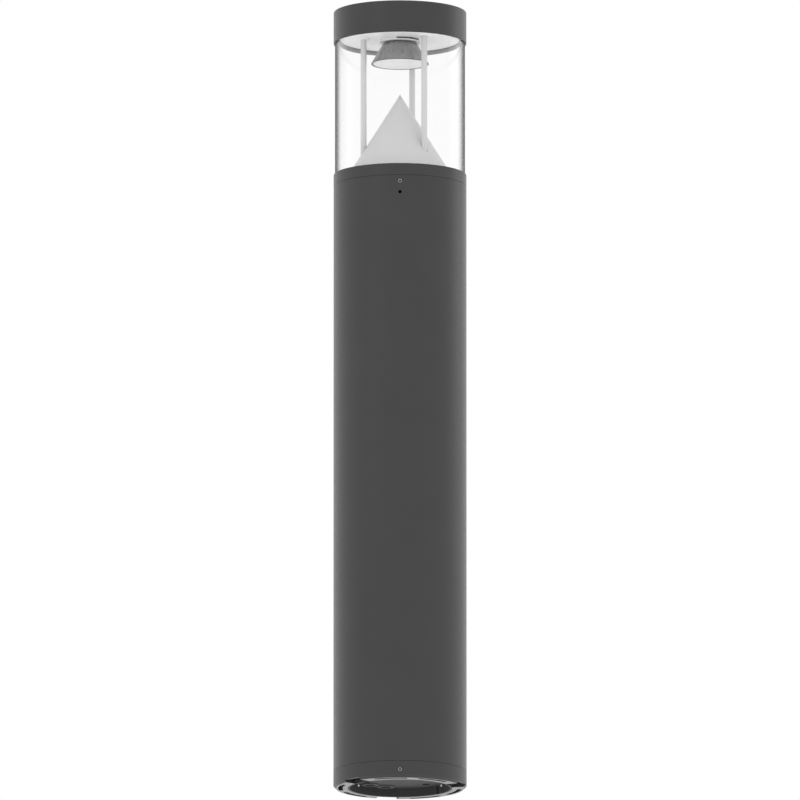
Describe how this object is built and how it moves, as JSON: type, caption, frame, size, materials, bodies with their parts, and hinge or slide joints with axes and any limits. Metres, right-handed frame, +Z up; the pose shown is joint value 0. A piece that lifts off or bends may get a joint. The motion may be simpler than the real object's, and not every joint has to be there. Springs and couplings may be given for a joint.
{
  "type": "bollard light",
  "caption": "Round dark post with a clear cylindrical lens near its top, a white cone reflector inside, a downlight optic under a flat cap and a set-screwed floor anchor.",
  "frame": {"origin": "on the ground, at the middle of the post's foot", "axes": "+Z up along the post, -Y towards the front, where the set screws and the vent hole show, +X to the right"},
  "size_m": [0.18, 0.18, 1.0668],
  "materials": {
    "body_paint": "fine matt powder coat, dark grey",
    "cast_base": "matt powder coat outside, machined aluminium underneath",
    "anchor_cast": "cast aluminium, machined rim",
    "stainless": "stainless steel fasteners",
    "clear_lens": "clear acrylic, polished",
    "seal_rubber": "matt black EPDM",
    "grommet_rubber": "grey moulded rubber",
    "white_enamel": "smooth white enamel",
    "cone_enamel": "matt white enamel",
    "reflector_metal": "satin spun aluminium",
    "diffuser": "opal diffuser",
    "holder_plastic": "white heat-resistant plastic",
    "board": "white solder mask on aluminium core",
    "chip": "yellow phosphor",
    "thermal_pad": "soft thermal pad",
    "sink_metal": "extruded, clear anodised",
    "tray_metal": "galvanised sheet",
    "driver_case": "white moulded case",
    "surge_case": "dark moulded case",
    "terminal_plastic": "natural polyamide",
    "lead_sleeve": "white silicone sleeve",
    "supply_sleeve": "black cable sheath",
    "connector": "black polyamide",
    "brass": "plain brass"
  },
  "bodies": {
    "post": {"post_tube": "body_paint", "head_set_screws": "stainless", "base_ring": "cast_base", "base_set_screws": "stainless", "anchor_plate": "anchor_cast", "cable_grommets": "grommet_rubber", "gear_tray": "tray_metal", "led_driver": "driver_case", "driver_screws": "stainless", "surge_protector": "surge_case", "surge_screws": "stainless", "terminal_block": "terminal_plastic", "terminal_screws": "stainless", "earth_stud": "brass", "earth_nuts": "brass", "surge_lead": "supply_sleeve", "driver_input_lead": "supply_sleeve", "driver_output_lead": "lead_sleeve", "lead_socket": "connector", "socket_bracket": "terminal_plastic", "bracket_screws": "stainless"},
    "head": {"head_collar": "body_paint", "deck_plate": "body_paint", "spigot_o_ring": "seal_rubber", "lens": "clear_lens", "lens_bottom_gasket": "seal_rubber", "lens_top_gasket": "seal_rubber", "cap_shell": "body_paint", "ceiling_plate": "white_enamel", "ceiling_screws": "white_enamel", "tie_rod_1": "white_enamel", "tie_rod_2": "white_enamel", "tie_rod_3": "white_enamel", "rod_flanges": "white_enamel", "rod_top_nuts": "stainless", "rod_bottom_nuts": "stainless", "cone_reflector": "cone_enamel", "cone_screws": "stainless", "optic_reflector": "reflector_metal", "optic_diffuser": "diffuser", "optic_holder": "holder_plastic", "neck_seal": "seal_rubber", "holder_screws": "stainless", "led_board": "board", "led_chip": "chip", "thermal_pad": "thermal_pad", "heat_sink": "sink_metal", "heat_sink_screws": "stainless", "led_lead": "lead_sleeve", "lead_plug": "connector"}
  },
  "joints": [
    {"name": "head_lift", "type": "slide", "parent": "post", "child": "head", "axis": [0, 0, 1], "range_m": [0, 0.1]}
  ]
}
